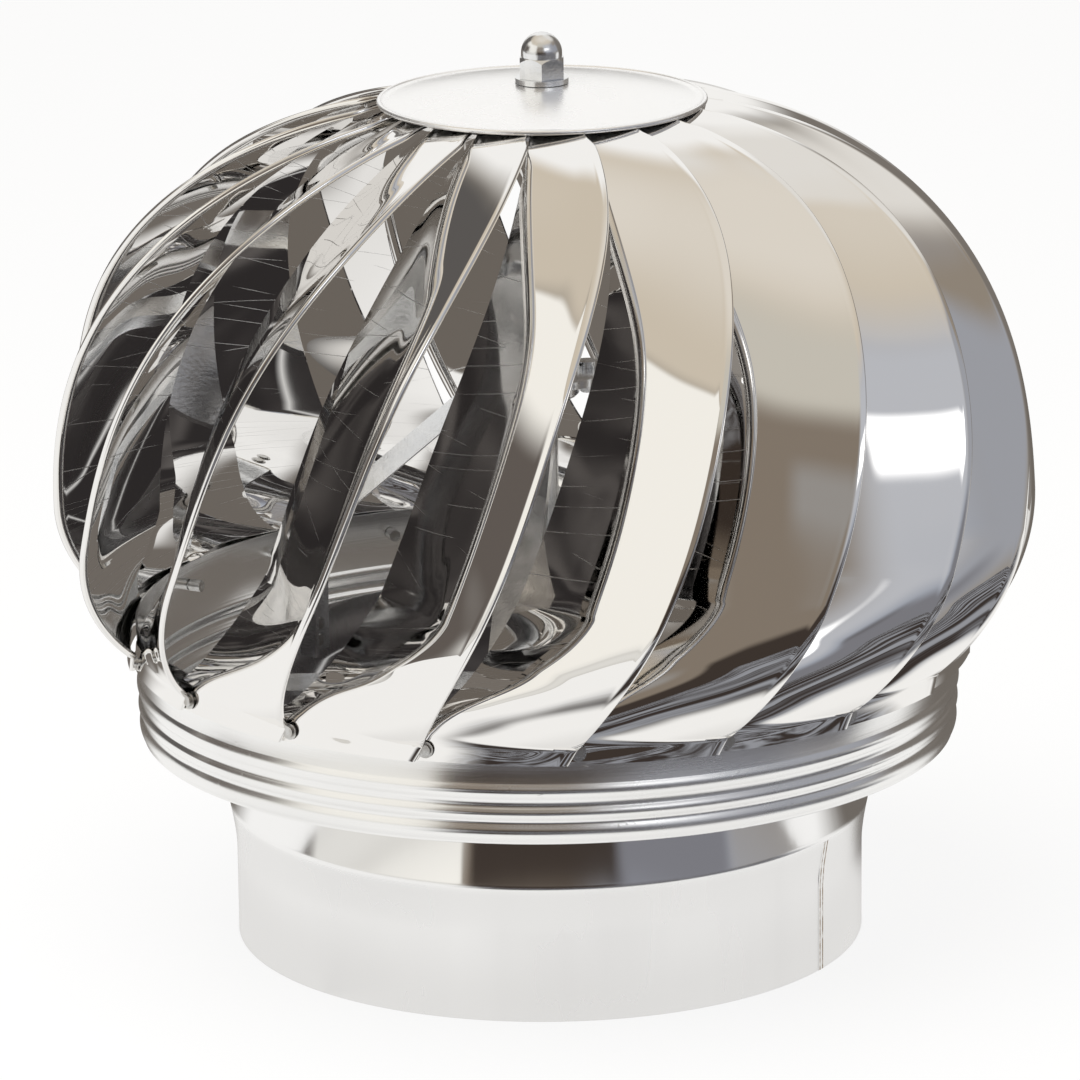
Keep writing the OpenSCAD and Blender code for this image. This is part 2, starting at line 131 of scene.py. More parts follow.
def ridge_angle(z):
    fall = (BLADE_TOP_Z - z) / (BLADE_TOP_Z - BLADE_FOOT_Z)
    return FIRST_RIDGE_ANGLE - SWIRL_ANGLE * fall - SWIRL_SWAY * np.sin(2 * math.pi * fall)


def edge_depth(s):
    share = np.clip((ridge_point(s)[..., 1] - EQUATOR_Z) / (BLADE_TOP_Z - EQUATOR_Z), 0, 0.999)
    crown = BLADE_DEPTH * (1 - share ** 2.6) ** 0.8
    lower = FOOT_STANDOFF + (BLADE_DEPTH - FOOT_STANDOFF) * (1 - np.clip(s, 0, 1) ** 1.5) ** 0.9
    return np.where(s < 0, crown, lower)


def edge_span(s):
    low = np.clip(s, 0, 1)
    return BLADE_SPAN + np.where(s < 0, CROWN_SPAN * s * s, FOOT_SPAN * (0.3 * low * low + 0.7 * low ** 6))


def edge_point(s):
    step = 0.004
    d = unit(ridge_point(np.minimum(1, s + step)) - ridge_point(np.maximum(-1, s - step)))
    lean = np.where(s > 0, LOWER_LEAN, 1.0)
    normal = np.stack([-d[..., 1], d[..., 0] * lean], axis=-1)
    p = ridge_point(s) - edge_depth(s)[..., None] * normal
    seat_r = BAND_R + SHEET / 2 + EDGE_SEAT_GAP
    swing = smooth((BAND_TOP_Z + EDGE_SWING_H - p[..., 1]) / (EDGE_SWING_H - EDGE_SEAT_H))
    r = p[..., 0] + swing * np.maximum(0, seat_r - p[..., 0])
    return np.stack([r, p[..., 1]], axis=-1)


def panel_point(s, q):
    """Middle of a blade's sheet: q is 0 at the inner edge and 1 at the ridge."""
    s, q = np.broadcast_arrays(s, q)
    ridge = ridge_point(s)
    edge = edge_point(s)
    hollow = BLADE_HOLLOW * 4 * q * (1 - q) * smooth(4 * (1 - np.abs(s)))
    p = edge + (ridge - edge) * q[..., None]
    angle = ridge_angle(ridge[..., 1]) - (1 - q) * edge_span(s)
    return polar(p[..., 0] - hollow, angle, p[..., 1])


def panel_normal(s, q):
    step = 0.01
    across = panel_point(s, q + step) - panel_point(s, q - step)
    along = panel_point(np.minimum(1, s + step), q) - panel_point(np.maximum(-1, s - step), q)
    return unit(np.cross(across, along))


# Mesh helpers

def new_object(name, points, faces, sharp=math.radians(38)):
    mesh = bpy.data.meshes.new(name)
    mesh.from_pydata([tuple(p) for p in points], [], faces)
    mesh.update()
    mesh.shade_smooth()
    mesh.set_sharp_from_angle(angle=sharp)
    obj = bpy.data.objects.new(name, mesh)
    bpy.context.scene.collection.objects.link(obj)
    return obj


def closed_sweep_faces(ring_count, ring_size, wrap=False):
    """Quads between rings of points, with end caps unless the rings close on themselves."""
    faces = []
    for j in range(ring_count if wrap else ring_count - 1):
        a = j * ring_size
        b = (j + 1) % ring_count * ring_size
        for k in range(ring_size):
            n = (k + 1) % ring_size
            faces.append((a + k, a + n, b + n, b + k))
    if not wrap:
        faces.append(tuple(range(ring_size - 1, -1, -1)))
        last = (ring_count - 1) * ring_size
        faces.append(tuple(last + k for k in range(ring_size)))
    return faces


def lathe(name, outline, segments=360):
    """Closed outline of (radius, height) turned about the vertical axis."""
    outline = np.array(outline)
    angles = np.linspace(0, 360, segments, endpoint=False)
    heights = np.broadcast_to(outline[None, :, 1], (segments, len(outline)))
    points = polar(outline[None, :, 0], angles[:, None], heights)
    return new_object(name, points.reshape(-1, 3), closed_sweep_faces(segments, len(outline), wrap=True))


def beside(path, distance):
    """The left side of a path at an even distance, with mitred corners."""
    path = np.array(path, float)
    d = unit(np.diff(path, axis=0))
    before = np.vstack([d[:1], d])
    after = np.vstack([d, d[-1:]])
    middle = unit(before + after)
    left = np.stack([-middle[:, 1], middle[:, 0]], axis=1)
    square = np.stack([-before[:, 1], before[:, 0]], axis=1)
    return path + left * (distance / np.sum(left * square, axis=1))[:, None]


def sheet_outline(path):
    return np.vstack([path, beside(path, SHEET)[::-1]])


# Blades: finely meshed sheets with a rolled hem, small dents and ripples

PANEL_COLUMNS = 44
BLADE_ROWS = 150
PANEL_WIDTH = 60 * MM
# Hem's outline in halves of its width across the sheet and in its height above it
HEM_OUTLINE = [(-1.15, 0.0), (-1.0, 0.1), (-0.86, 0.55), (-0.62, 0.88), (-0.2, 1.0), (0.3, 1.0),
               (0.7, 0.86), (0.93, 0.55), (1.0, 0.15), (0.94, -0.25), (0.8, -0.45)]


def dents(index, s, q):
    """Height of the sheet's own unevenness: long soft waves, and ripples towards the foot."""
    rng = np.random.RandomState(100 + index)
    height = np.zeros(np.broadcast(s, q).shape)
    for _ in range(4):
        f_s = rng.uniform(3, 8)
        f_q = rng.uniform(0.2, 1.0)
        phase = rng.uniform(0, 2 * math.pi)
        height += np.sin(f_s * s + f_q * 2 * math.pi * q + phase) * rng.uniform(0.02, 0.07)
    foot = smooth((s - 0.3) / 0.6)
    for _ in range(6):
        f_s = rng.uniform(8, 16)
        f_q = rng.uniform(-1.8, 1.8)
        phase = rng.uniform(0, 2 * math.pi)
        height += foot * np.sin(f_s * s + f_q * 2 * math.pi * q + phase) * rng.uniform(0.05, 0.12)
    fixed = smooth((1 - np.abs(s)) / 0.1) * smooth((1 - q) / 0.3)
    return height * fixed * MM


# Panel map: the outer face has u from 0 to 1, the hem lies at u = 1.5 and the inner face starts at u = 2.
# MAP_SHIFT moves v from blade to blade, so that no two have the same scratches.
HEM_MARK = 1.5
INNER_MARK = 2.0
MAP_SHIFT = 4.0


def add_panel_map(obj, across, along):
    """Stores each point's share across the panel and its station along it as a UV map."""
    values = np.stack(np.broadcast_arrays(across[None, :], along[:, None]), axis=-1).reshape(-1, 2)
    mesh = obj.data
    layer = mesh.uv_layers.new(name="panel")
    corners = np.empty(len(mesh.loops), dtype=np.int32)
    mesh.loops.foreach_get("vertex_index", corners)
    layer.data.foreach_set("uv", values[corners].astype(np.float32).reshape(-1))


def blade_mesh(index):
    name = f"blade_{index:02d}"
    s_top = -np.linspace(1, 0, BLADE_ROWS * 6 // 10, endpoint=False)
    s_low = 1 - (1 - np.linspace(0, 1, BLADE_ROWS * 4 // 10)) ** 1.4
    s = np.concatenate([s_top, s_low])[:, None]
    hem_size = smooth((ridge_point(s)[..., 0] - HEM_START_R) / (HEM_FULL_R - HEM_START_R))
    half = SHEET / 2
    hem_q = 1 - HEM_W * 0.6 / PANEL_WIDTH
    q_out = np.linspace(0, hem_q, PANEL_COLUMNS)[None, :]
    q_in = np.linspace(0.98, 0, PANEL_COLUMNS)[None, :]
    outer = panel_point(s, q_out) + panel_normal(s, q_out) * (half + dents(index, s, q_out))[..., None]
    inner = panel_point(s, q_in) + panel_normal(s, q_in) * (dents(index, s, q_in) - half)[..., None]
    one = np.ones_like(s)
    ridge = panel_point(s, one)
    across = unit(panel_point(s, one) - panel_point(s, one * 0.98))
    normal = panel_normal(s, one)
    t = np.array([p[0] for p in HEM_OUTLINE])[None, :] * HEM_W / 2 * np.maximum(0.15, hem_size)
    rise = np.array([max(0.0, p[1]) for p in HEM_OUTLINE])[None, :] * HEM_H * hem_size
    drop = np.array([min(0.0, p[1]) for p in HEM_OUTLINE])[None, :] * HEM_H * one
    top_half = np.array([1.0 if p[1] >= 0 else 0.0 for p in HEM_OUTLINE])[None, :] * half
    hem = ridge + across * t[..., None] + normal * (rise + drop + top_half)[..., None]
    rings = np.concatenate([outer, hem, inner], axis=1)
    turn = math.radians(360 / BLADE_COUNT * (index - 1))
    c, n = math.cos(turn), math.sin(turn)
    points = rings.reshape(-1, 3) @ np.array([[c, n, 0], [-n, c, 0], [0, 0, 1]])
    faces = [f[::-1] for f in closed_sweep_faces(len(s), rings.shape[1])]
    obj = new_object("skin_" + name, points, faces, sharp=math.radians(50))
    shares = np.concatenate([q_out[0], np.full(len(HEM_OUTLINE), HEM_MARK), INNER_MARK + q_in[0]])
    add_panel_map(obj, shares, s[:, 0] + index * MAP_SHIFT)
    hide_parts(name)
    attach(obj, "rotor")
    return obj


# Round sheet pieces

def collar_mesh():
    path = [(SPIGOT_R, 0), (SPIGOT_R, FLARE_Z)]
    flare_steps = 8
    for i in range(1, flare_steps + 1):
        share = i / flare_steps
        z = FLARE_Z + (FOLD_Z - 2 * MM - FLARE_Z) * share
        path.append((SPIGOT_R + (FOLD_R - SPIGOT_R) * share ** 1.6, z))
    path += [(FOLD_R, FOLD_Z - 1 * MM), (FOLD_R - 0.3 * MM, FOLD_Z)]
    path += [(NECK_R + 0.8 * MM, SHOULDER_Z - 4 * MM), (NECK_R, SHOULDER_Z), (NECK_R, NECK_TOP_Z)]
    obj = lathe("skin_collar", sheet_outline(path), segments=720)
    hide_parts("collar")
    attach(obj, "base")
    return obj


def band_wall_r(z):
    return BAND_LIP_R + (BAND_R - BAND_LIP_R) * (z - BAND_LIP_Z) / (BAND_TOP_Z - BAND_LIP_Z)


def band_mesh():
    path = [(BAND_LIP_R - 1 * MM, BAND_LIP_Z), (BAND_LIP_R, BAND_LIP_Z)]
    for low, high in BEAD_SPANS:
        for t in np.linspace(0, 1, 13):
            z = low + (high - low) * t
            path.append((band_wall_r(z) + BEAD_H * math.sin(math.pi * t), z))
    path.append((BAND_R, BAND_TOP_Z))
    obj = lathe("skin_band", sheet_outline(path), segments=720)
    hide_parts("band")
    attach(obj, "rotor")
    return obj


def cap_mesh():
    roll = 1 * MM
    dome = []
    for share in np.linspace(0.03, 1, 24):
        r = CAP_R + (SPINDLE_HOLE_R - CAP_R) * share
        dome.append((r, CAP_RIM_Z + CAP_RISE * (1 - (r / CAP_R) ** 2)))
    centre = (CAP_R, CAP_RIM_Z - SHEET + roll)
    rim = [(centre[0] + roll * math.cos(a), centre[1] + roll * math.sin(a))
           for a in np.linspace(math.radians(-100), math.radians(140), 12)]
    lower = beside(dome, SHEET)[::-1]
    obj = lathe("skin_cap_disc", np.vstack([rim, dome, lower]), segments=360)
    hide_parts("cap_disc")
    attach(obj, "rotor")
    return obj


# Node helpers

def srgb(red, green, blue):
    """Linear colour from a colour as it looks on a screen, 0 to 255."""
    values = []
    for v in (red / 255, green / 255, blue / 255):
        values.append(v / 12.92 if v <= 0.04045 else ((v + 0.055) / 1.055) ** 2.4)
    return (*values, 1)


class Graph:
    """Adds nodes to one tree. Numbers go straight into the sockets, sockets are linked."""

    def __init__(self, tree):
        self.tree = tree

    def feed(self, socket, value):
        if isinstance(value, bpy.types.NodeSocket):
            self.tree.links.new(value, socket)
        else:
            socket.default_value = value

    def node(self, kind, **settings):
        made = self.tree.nodes.new("ShaderNode" + kind)
        for key, value in settings.items():
            setattr(made, key, value)
        return made

    def math(self, operation, first, second=0.0):
        made = self.node("Math", operation=operation)
        self.feed(made.inputs[0], first)
        self.feed(made.inputs[1], second)
        return made.outputs[0]

    def step(self, value, low, high):
        """0 below low, 1 above high, smooth in between; low may be the larger one."""
        rising = high >= low
        made = self.node("MapRange", interpolation_type="SMOOTHSTEP")
        self.feed(made.inputs["Value"], value)
        made.inputs["From Min"].default_value = min(low, high)
        made.inputs["From Max"].default_value = max(low, high)
        made.inputs["To Min"].default_value = 0.0 if rising else 1.0
        made.inputs["To Max"].default_value = 1.0 if rising else 0.0
        return made.outputs["Result"]

    def mix(self, share, first, second):
        made = self.node("Mix", data_type="RGBA")
        self.feed(made.inputs["Factor"], share)
        self.feed(made.inputs[6], first)
        self.feed(made.inputs[7], second)
        return made.outputs[2]

    def mix_shader(self, share, first, second):
        made = self.node("MixShader")
        self.feed(made.inputs["Fac"], share)
        self.feed(made.inputs[1], first)
        self.feed(made.inputs[2], second)
        return made.outputs[0]

    def emission(self, kind, colour, strength=1.0):
        made = self.node(kind)
        self.feed(made.inputs["Color"], colour)
        made.inputs["Strength"].default_value = strength
        return made.outputs[0]

    def place(self):
        return self.node("TexCoord").outputs["Object"]

    def axes(self, vector):
        made = self.node("SeparateXYZ")
        self.feed(made.inputs[0], vector)
        return made.outputs

    def reach(self, vector, direction):
        """How far a point or direction lies towards another direction."""
        made = self.node("VectorMath", operation="DOT_PRODUCT")
        self.feed(made.inputs[0], vector)
        made.inputs[1].default_value = direction
        return made.outputs["Value"]

    def stretch(self, vector, scale):
        made = self.node("Mapping")
        self.feed(made.inputs["Vector"], vector)
        made.inputs["Scale"].default_value = scale
        return made.outputs[0]

    def noise(self, vector, scale, detail=2.0, roughness=0.5):
        made = self.node("TexNoise")
        self.feed(made.inputs["Vector"], vector)
        made.inputs["Scale"].default_value = scale
        made.inputs["Detail"].default_value = detail
        made.inputs["Roughness"].default_value = roughness
        return made.outputs["Fac"]


# Materials

def material(name, colour, roughness, metallic=1.0):
    mat = bpy.data.materials.new(name)
    mat.use_nodes = True
    shader = mat.node_tree.nodes["Principled BSDF"]
    shader.inputs["Base Color"].default_value = (*colour, 1)
    shader.inputs["Roughness"].default_value = roughness
    shader.inputs["Metallic"].default_value = metallic
    return mat, mat.node_tree, shader


def paint(obj, mat):
    obj.data.materials.clear()
    obj.data.materials.append(mat)


def bump(graph, shader, height, distance, strength=1.0):
    made = graph.node("Bump")
    made.inputs["Distance"].default_value = distance
    made.inputs["Strength"].default_value = strength
    graph.feed(made.inputs["Height"], height)
    graph.feed(shader.inputs["Normal"], made.outputs[0])


def scratch_lines(graph, along, across, count, slope, width, seed):
    """Thin straight lines across a panel at uneven distances, each broken here and there."""
    lane = graph.math("ADD", graph.math("MULTIPLY", along, count), graph.math("MULTIPLY", across, slope))
    cells = graph.node("TexVoronoi", voronoi_dimensions="1D", feature="DISTANCE_TO_EDGE")
    graph.feed(cells.inputs["W"], graph.math("ADD", lane, seed))
    cells.inputs["Scale"].default_value = 1.0
    line = graph.step(cells.outputs["Distance"], width, width * 0.3)
    place = graph.node("CombineXYZ")
    graph.feed(place.inputs[0], graph.math("MULTIPLY", across, 2.2))
    graph.feed(place.inputs[1], graph.math("MULTIPLY", along, count * 0.9))
    place.inputs[2].default_value = seed
    broken = graph.step(graph.noise(place.outputs[0], 1.0, detail=0), 0.42, 0.58)
    return graph.math("MULTIPLY", line, broken)


MIRROR_TINT = (0.93, 0.92, 0.905)
SCRATCH_TINT = (0.98, 0.98, 0.98, 1)


def mirror_steel():
    """Mirror-polished sheet with fine scratch lines, crinkled spots and a faint haze."""
    mat, tree, shader = material("mirror_steel", MIRROR_TINT, 0.02)
    graph = Graph(tree)
    panel = graph.axes(graph.node("UVMap", uv_map="panel").outputs[0])
    across = panel["X"]
    along = panel["Y"]
    place = graph.place()
    outer = graph.step(across, 1.2, 1.1)
    lines = graph.math("MAXIMUM", scratch_lines(graph, along, across, 16, 0.25, 0.016, 3.7),
                       scratch_lines(graph, along, across, 9, -0.55, 0.008, 11.3))
    lines = graph.math("MULTIPLY", lines, outer)
    haze = graph.step(graph.noise(place, 16, detail=1), 0.45, 0.70)
    rough = graph.math("ADD", 0.012, graph.math("MULTIPLY", haze, 0.03))
    rough = graph.math("ADD", rough, graph.math("MULTIPLY", lines, 0.45))
    graph.feed(shader.inputs["Roughness"], rough)
    tint = graph.mix(graph.math("MULTIPLY", lines, 0.7), (*MIRROR_TINT, 1), SCRATCH_TINT)
    graph.feed(shader.inputs["Base Color"], tint)
    near = graph.reach(place, polar(1, CRINKLE_ANGLE, 0))
    near = graph.step(near, CRINKLE_REACH, CRINKLE_REACH + 10 * MM)
    low = graph.step(graph.axes(place)["Z"], CRINKLE_TOP_Z, CRINKLE_TOP_Z - 8 * MM)
    patch = graph.step(graph.noise(place, 34, detail=0), 0.52, 0.56)
    patch = graph.math("MULTIPLY", graph.math("MULTIPLY", patch, low), outer)
    patch = graph.math("MULTIPLY", patch, near)
    flakes = graph.noise(place, 360, detail=0)
    speck = graph.step(flakes, 0.52, 0.57)
    crinkle = graph.math("MULTIPLY", speck, patch)
    ripple = graph.math("MULTIPLY", graph.noise(place, 22, detail=0), 0.9)
    height = graph.math("ADD", graph.math("MULTIPLY", crinkle, 0.60), graph.math("MULTIPLY", ripple, 0.25))
    bump(graph, shader, height, 0.0004)
    return mat


def polished_steel():
    """Spun sheet: fine rings left by the spinning tool, a soft haze and a few small marks."""
    mat, tree, shader = material("polished_steel", (0.96, 0.96, 0.955), 0.2)
    graph = Graph(tree)
    place = graph.place()
    rings = graph.noise(graph.stretch(place, (1, 1, 60)), 22, detail=2, roughness=0.6)
    haze = graph.noise(place, 9, detail=2)
    rough = graph.math("ADD", 0.12, graph.math("MULTIPLY", graph.step(haze, 0.35, 0.75), 0.16))
    rough = graph.math("ADD", rough, graph.math("MULTIPLY", rings, 0.06))
    graph.feed(shader.inputs["Roughness"], rough)
    marks = graph.step(graph.noise(place, 260, detail=1), 0.74, 0.78)
    height = graph.math("ADD", graph.math("MULTIPLY", rings, 0.35), graph.math("MULTIPLY", marks, 0.5))
    bump(graph, shader, height, 0.00006)
    return mat


def brushed_sheet(name, metallic):
    """Duller sheet of the collar and cap: soft haze and faint upright streaks, smoother on the shoulder."""
    mat, tree, shader = material(name, (0.955, 0.955, 0.955), 0.25, metallic)
    graph = Graph(tree)
    place = graph.place()
    streaks = graph.noise(graph.stretch(place, (1, 1, 0.06)), 70, detail=2, roughness=0.65)
    haze = graph.noise(place, 13, detail=2)
    rough = graph.math("ADD", 0.14, graph.math("MULTIPLY", haze, 0.16))
    rough = graph.math("ADD", rough, graph.math("MULTIPLY", streaks, 0.10))
    level = graph.axes(place)["Z"]
    shoulder = graph.step(level, FOLD_Z - 3 * MM, FOLD_Z + 1 * MM)
    shoulder = graph.math("MULTIPLY", shoulder, graph.step(level, NECK_TOP_Z + 4 * MM, NECK_TOP_Z))
    duller = graph.math("SUBTRACT", 1.0, graph.math("MULTIPLY", shoulder, 0.75))
    rough = graph.math("MULTIPLY", rough, duller)
    graph.feed(shader.inputs["Roughness"], rough)
    height = graph.math("ADD", graph.math("MULTIPLY", streaks, 0.7), graph.math("MULTIPLY", haze, 0.3))
    bump(graph, shader, height, 0.00005)
    return mat


def zinc():
    """Bright zinc plating: slightly cloudy, with fine pits."""
    mat, tree, shader = material("zinc", (0.88, 0.89, 0.90), 0.16)
    graph = Graph(tree)
    place = graph.place()
    cloud = graph.noise(place, 110, detail=4)
    graph.feed(shader.inputs["Roughness"], graph.math("ADD", 0.09, graph.math("MULTIPLY", cloud, 0.18)))
    tint = graph.mix(graph.step(cloud, 0.3, 0.7), (0.80, 0.81, 0.82, 1), (0.92, 0.925, 0.93, 1))
    graph.feed(shader.inputs["Base Color"], tint)
    bump(graph, shader, graph.noise(place, 900, detail=2), 0.00004)
    return mat


def plain_steel():
    """Rivets and bearings: plain steel with a dull, slightly stained face."""
    mat, tree, shader = material("plain_steel", (0.62, 0.62, 0.61), 0.28)
    graph = Graph(tree)
    place = graph.place()
    stain = graph.noise(place, 240, detail=4)
    graph.feed(shader.inputs["Roughness"], graph.math("ADD", 0.18, graph.math("MULTIPLY", stain, 0.22)))
    tint = graph.mix(graph.step(stain, 0.35, 0.7), (0.70, 0.70, 0.69, 1), (0.52, 0.50, 0.47, 1))
    graph.feed(shader.inputs["Base Color"], tint)
    bump(graph, shader, graph.noise(place, 1200, detail=2), 0.00004)
    return mat


def weld_line():
    """Seam: two thin heat-tinted lines with bright sheet between them."""
    mat, tree, shader = material("weld_line", (0.9, 0.9, 0.9), 0.25)
    graph = Graph(tree)
    place = graph.place()
    off = graph.math("ABSOLUTE", graph.reach(place, polar(1, SEAM_ANGLE + 90, 0)))
    off = graph.math("SUBTRACT", off, SEAM_LINE_OFF)
    line = graph.step(graph.math("ABSOLUTE", off), 0.0005, 0.0002)
    uneven = graph.step(graph.noise(place, 300, detail=3), 0.25, 0.6)
    tint = graph.mix(graph.math("MULTIPLY", line, uneven), (0.93, 0.93, 0.925, 1), srgb(142, 116, 86))
    graph.feed(shader.inputs["Base Color"], tint)
    graph.feed(shader.inputs["Roughness"], graph.math("ADD", 0.2, graph.math("MULTIPLY", line, 0.25)))
    bump(graph, shader, graph.noise(place, 900, detail=2), 0.00006)
    return mat


# Studio: a white table, with the room that the mirror blades reflect as colours of the world

TABLE_WHITE = srgb(247, 246, 244)
TABLE_DARK = srgb(112, 106, 100)
CLUTTER_DARK = srgb(58, 51, 48)
CLUTTER_LIGHT = srgb(150, 152, 158)
# Painted shade for the table inside the collar: a dark and a grey tone
INSIDE_SHADE_DARK = srgb(46, 43, 43)
INSIDE_SHADE_GREY = srgb(92, 88, 86)
WHITE = (1, 1, 1, 1)
DARK_SIDE_ANGLE = 172
CLUTTER_ANGLE = 32
FLOOR_SIZE = 12
CAMERA_WHITE_SHARE = 0.88


def floor():
    bpy.ops.mesh.primitive_plane_add(size=FLOOR_SIZE)
    obj = bpy.context.object
    obj.name = "floor"
    mat = bpy.data.materials.new("floor")
    mat.use_nodes = True
    graph = Graph(mat.node_tree)
    shader = mat.node_tree.nodes["Principled BSDF"]
    shader.inputs["Base Color"].default_value = (0.93, 0.93, 0.925, 1)
    shader.inputs["Roughness"].default_value = 0.9
    place = graph.place()
    length = graph.node("VectorMath", operation="LENGTH")
    graph.feed(length.inputs[0], place)
    radius = length.outputs["Value"]
    outward = graph.node("VectorMath", operation="NORMALIZE")
    graph.feed(outward.inputs[0], place)

    def sector(angle, low, high):
        return graph.step(graph.reach(outward.outputs[0], polar(1, angle, 0)), low, high)

    behind = graph.math("MULTIPLY", sector(DARK_SIDE_ANGLE, 0.35, 0.60), graph.step(radius, 0.14, 0.18))
    seen = graph.mix(behind, TABLE_WHITE, TABLE_DARK)
    things = graph.step(graph.noise(place, 5, detail=3, roughness=0.6), 0.42, 0.62)
    clutter = graph.mix(things, CLUTTER_DARK, CLUTTER_LIGHT)
    before = graph.math("MULTIPLY", sector(CLUTTER_ANGLE, 0.45, 0.65), graph.step(radius, 0.30, 0.38))
    seen = graph.mix(before, seen, clutter)
    # Painted shadow: the table seen in the metal darkens towards the cowl, where its shadow falls
    shade = graph.step(radius, 0.24, 0.15)
    seen = graph.mix(graph.math("MULTIPLY", shade, 0.16), seen, TABLE_DARK)
    # Painted shade: the table inside the collar is dark, mottled with grey, standing in for the shade under
    # the cowl
    inside = graph.step(radius, 0.126, 0.120)
    shade_mottle = graph.step(graph.noise(place, 18, detail=2), 0.45, 0.68)
    seen = graph.mix(inside, seen, graph.mix(shade_mottle, INSIDE_SHADE_DARK, INSIDE_SHADE_GREY))
    table_seen = graph.emission("Emission", seen)
    # Camera rays see the painted shade inside the collar too
    white_seen = graph.emission("Emission", graph.mix(inside, WHITE, INSIDE_SHADE_DARK))
    path = graph.node("LightPath")
    camera_share = graph.math("MULTIPLY", path.outputs["Is Camera Ray"], CAMERA_WHITE_SHARE)
    look = graph.mix_shader(camera_share, shader.outputs[0], white_seen)
    mirrored = graph.math("MAXIMUM", path.outputs["Is Glossy Ray"], path.outputs["Is Transmission Ray"])
    look = graph.mix_shader(mirrored, look, table_seen)
    graph.feed(mat.node_tree.nodes["Material Output"].inputs["Surface"], look)
    paint(obj, mat)
    return obj


# Room patches: (first and last direction from the front towards the right, first and last height in
# degrees, softness in degrees, colour, strength)
CEILING = srgb(206, 195, 178)
CEILING_TOP = srgb(224, 217, 206)
WALL_SHADE = srgb(150, 143, 134)
ROOM_PATCHES = [
    (-152, -112, -90, 44, 5, srgb(92, 89, 87), 1.0),
    (-190, -112, -90, 5, 5, srgb(92, 89, 87), 1.0),
    (-190, -156, 2, 58, 6, srgb(248, 247, 245), 1.0),
    (104, 166, -90, 36, 8, srgb(122, 116, 110), 1.0),
    (104, 166, 40, 70, 8, srgb(228, 225, 220), 1.0),
    (166, 190, -90, 5, 5, srgb(92, 89, 87), 1.0),
    (160, 190, 2, 58, 6, srgb(248, 247, 245), 1.0),
    (-30, 22, 36, 62, 8, srgb(200, 195, 184), 1.0),
    (-31, 16, -5, 38, 4, srgb(132, 121, 109), 1.0),
    (-14, 12, 18, 27, 3, srgb(150, 146, 142), 1.0),
    (14, 62, 2, 50, 9, srgb(188, 190, 196), 1.0),
    (22, 66, -2, 13, 4, srgb(160, 165, 176), 1.0),
    (60, 104, 2, 46, 8, srgb(158, 160, 167), 1.0),
    (84, 112, 30, 44, 5, srgb(146, 136, 124), 1.0),
    (-112, -31, 4, 45, 0.8, srgb(248, 245, 238), 1.0),
    (-112, -78, -5, 27, 5, srgb(98, 91, 86), 1.0),
    (-92, -31, -2, 5, 3, srgb(226, 224, 219), 1.0),
    (-28, 27, -6, 9, 2, srgb(62, 54, 49), 1.0),
    (24, 66, -4, 9, 3, srgb(124, 124, 130), 1.0),
    (19, 45, 21, 29.5, 1.6, srgb(255, 255, 255), 2.0),
]


def room():
    world = bpy.data.worlds.new("room")
    bpy.context.scene.world = world
    world.use_nodes = True
    # Metal finds the room by its own reflections, so sampling it as a lamp would only take time
    world.cycles.sampling_method = "NONE"
    tree = world.node_tree
    tree.nodes.remove(tree.nodes["Background"])
    graph = Graph(tree)
    ray = graph.axes(graph.node("TexCoord").outputs["Generated"])
    forward = graph.math("MULTIPLY", ray["Y"], -1.0)
    azimuth = graph.math("MULTIPLY", graph.math("ARCTAN2", ray["X"], forward), math.degrees(1))
    height = graph.math("MULTIPLY", graph.math("ARCSINE", ray["Z"]), math.degrees(1))
    colour = graph.mix(graph.step(height, 42, 48), WALL_SHADE, CEILING)
    colour = graph.mix(graph.step(height, 52, 80), colour, CEILING_TOP)
    for first, last, low, high, soft, tone, strength in ROOM_PATCHES:
        mask = graph.step(azimuth, first - soft, first + soft)
        mask = graph.math("MULTIPLY", mask, graph.step(azimuth, last + soft, last - soft))
        mask = graph.math("MULTIPLY", mask, graph.step(height, low - soft, low + soft))
        mask = graph.math("MULTIPLY", mask, graph.step(height, high + soft, high - soft))
        bright = tuple(c * strength for c in tone[:3]) + (1,)
        colour = graph.mix(mask, colour, bright)
    surroundings = graph.emission("Background", colour)
    white = graph.emission("Background", WHITE)
    path = graph.node("LightPath")
    clear = graph.math("MAXIMUM", path.outputs["Is Camera Ray"], path.outputs["Is Transmission Ray"])
    look = graph.mix_shader(clear, surroundings, white)
    graph.feed(tree.nodes["World Output"].inputs["Surface"], look)


LAMP_SIZE = 1.6
LAMP_WATTS = 30
LAMP_PLACE = Vector((-0.3, -0.4, 1.9))
LAMP_TARGET = Vector((0, 0, 0.15))


def overhead_lamp():
    data = bpy.data.lights.new("overhead", "AREA")
    data.shape = "DISK"
    data.size = LAMP_SIZE
    data.energy = LAMP_WATTS
    obj = bpy.data.objects.new("overhead", data)
    obj.location = LAMP_PLACE
    obj.rotation_euler = (LAMP_TARGET - LAMP_PLACE).to_track_quat("-Z", "Y").to_euler()
    obj.visible_glossy = False
    bpy.context.scene.collection.objects.link(obj)


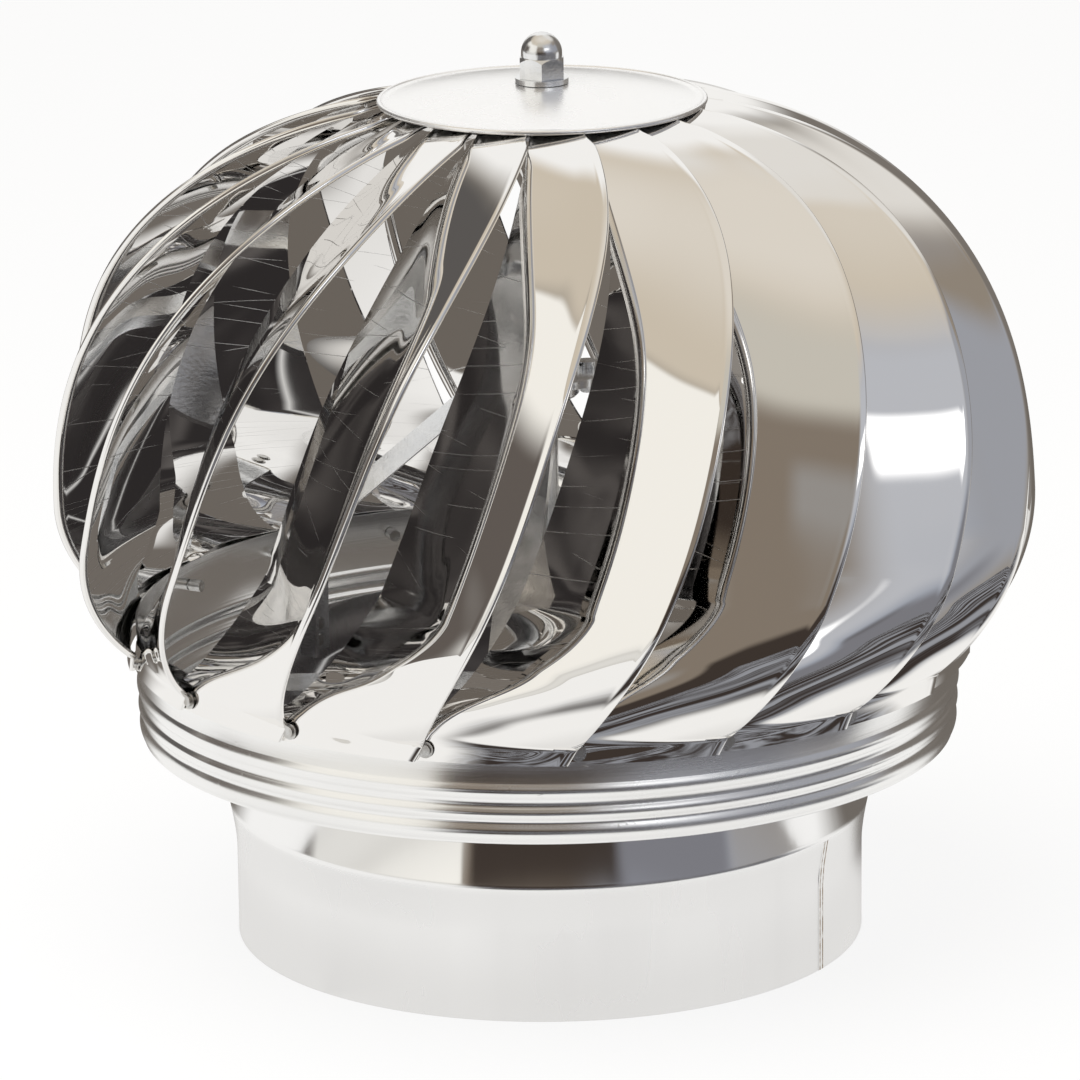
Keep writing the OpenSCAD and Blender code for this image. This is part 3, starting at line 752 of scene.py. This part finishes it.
# Camera as fitted to the photograph's round rims, angles in radians
CAMERA_DISTANCE = 2.5626
CAMERA_HEIGHT = 0.864646
CAMERA_PITCH = 0.2692
CAMERA_YAW = -0.001
CAMERA_ROLL = -0.0104
CAMERA_FOCAL_PX = 6713.23
IMAGE_PX = 1080
SENSOR_MM = 36


def camera():
    data = bpy.data.cameras.new("camera")
    data.sensor_width = SENSOR_MM
    data.lens = CAMERA_FOCAL_PX / IMAGE_PX * SENSOR_MM
    obj = bpy.data.objects.new("camera", data)
    bpy.context.scene.collection.objects.link(obj)
    obj.location = (0, -CAMERA_DISTANCE, CAMERA_HEIGHT)
    level = math.cos(CAMERA_PITCH)
    forward = Vector((math.sin(CAMERA_YAW) * level, math.cos(CAMERA_YAW) * level, -math.sin(CAMERA_PITCH)))
    right = Vector((math.cos(CAMERA_YAW), -math.sin(CAMERA_YAW), 0))
    up = right.cross(forward)
    turned_right = math.cos(CAMERA_ROLL) * right + math.sin(CAMERA_ROLL) * up
    turned_up = -math.sin(CAMERA_ROLL) * right + math.cos(CAMERA_ROLL) * up
    obj.rotation_euler = Matrix((turned_right, turned_up, -forward)).transposed().to_euler()
    bpy.context.scene.camera = obj


# Assembly

MIRROR = mirror_steel()
POLISHED = polished_steel()
ZINC = zinc()
PLAIN = plain_steel()
WELD = weld_line()
COLLAR = brushed_sheet("brushed_collar", 1.0)
CAP = brushed_sheet("dusty_cap", 0.88)
for i in range(1, BLADE_COUNT + 1):
    paint(blade_mesh(i), MIRROR)
paint(collar_mesh(), COLLAR)
paint(band_mesh(), POLISHED)
paint(cap_mesh(), CAP)
for node_name in ["cap_nut", "cap_washer", "spindle", "lock_nut", "lock_washer", "shoulder_nut", "end_nut",
                  "end_washer", "hub", "hub_bolts", "leg_1", "leg_2", "leg_3", "lower_bracket"]:
    paint(nodes[node_name], ZINC)
for node_name in ["leg_rivets", "bracket_rivets", "blade_rivets", "upper_outer_ring", "lower_outer_ring",
                  "upper_inner_ring", "lower_inner_ring", "upper_balls", "lower_balls"]:
    paint(nodes[node_name], PLAIN)
paint(nodes["crown_plate"], COLLAR)
paint(nodes["seam_weld"], WELD)

floor()
room()
overhead_lamp()
camera()
bpy.context.scene.view_settings.view_transform = "Standard"
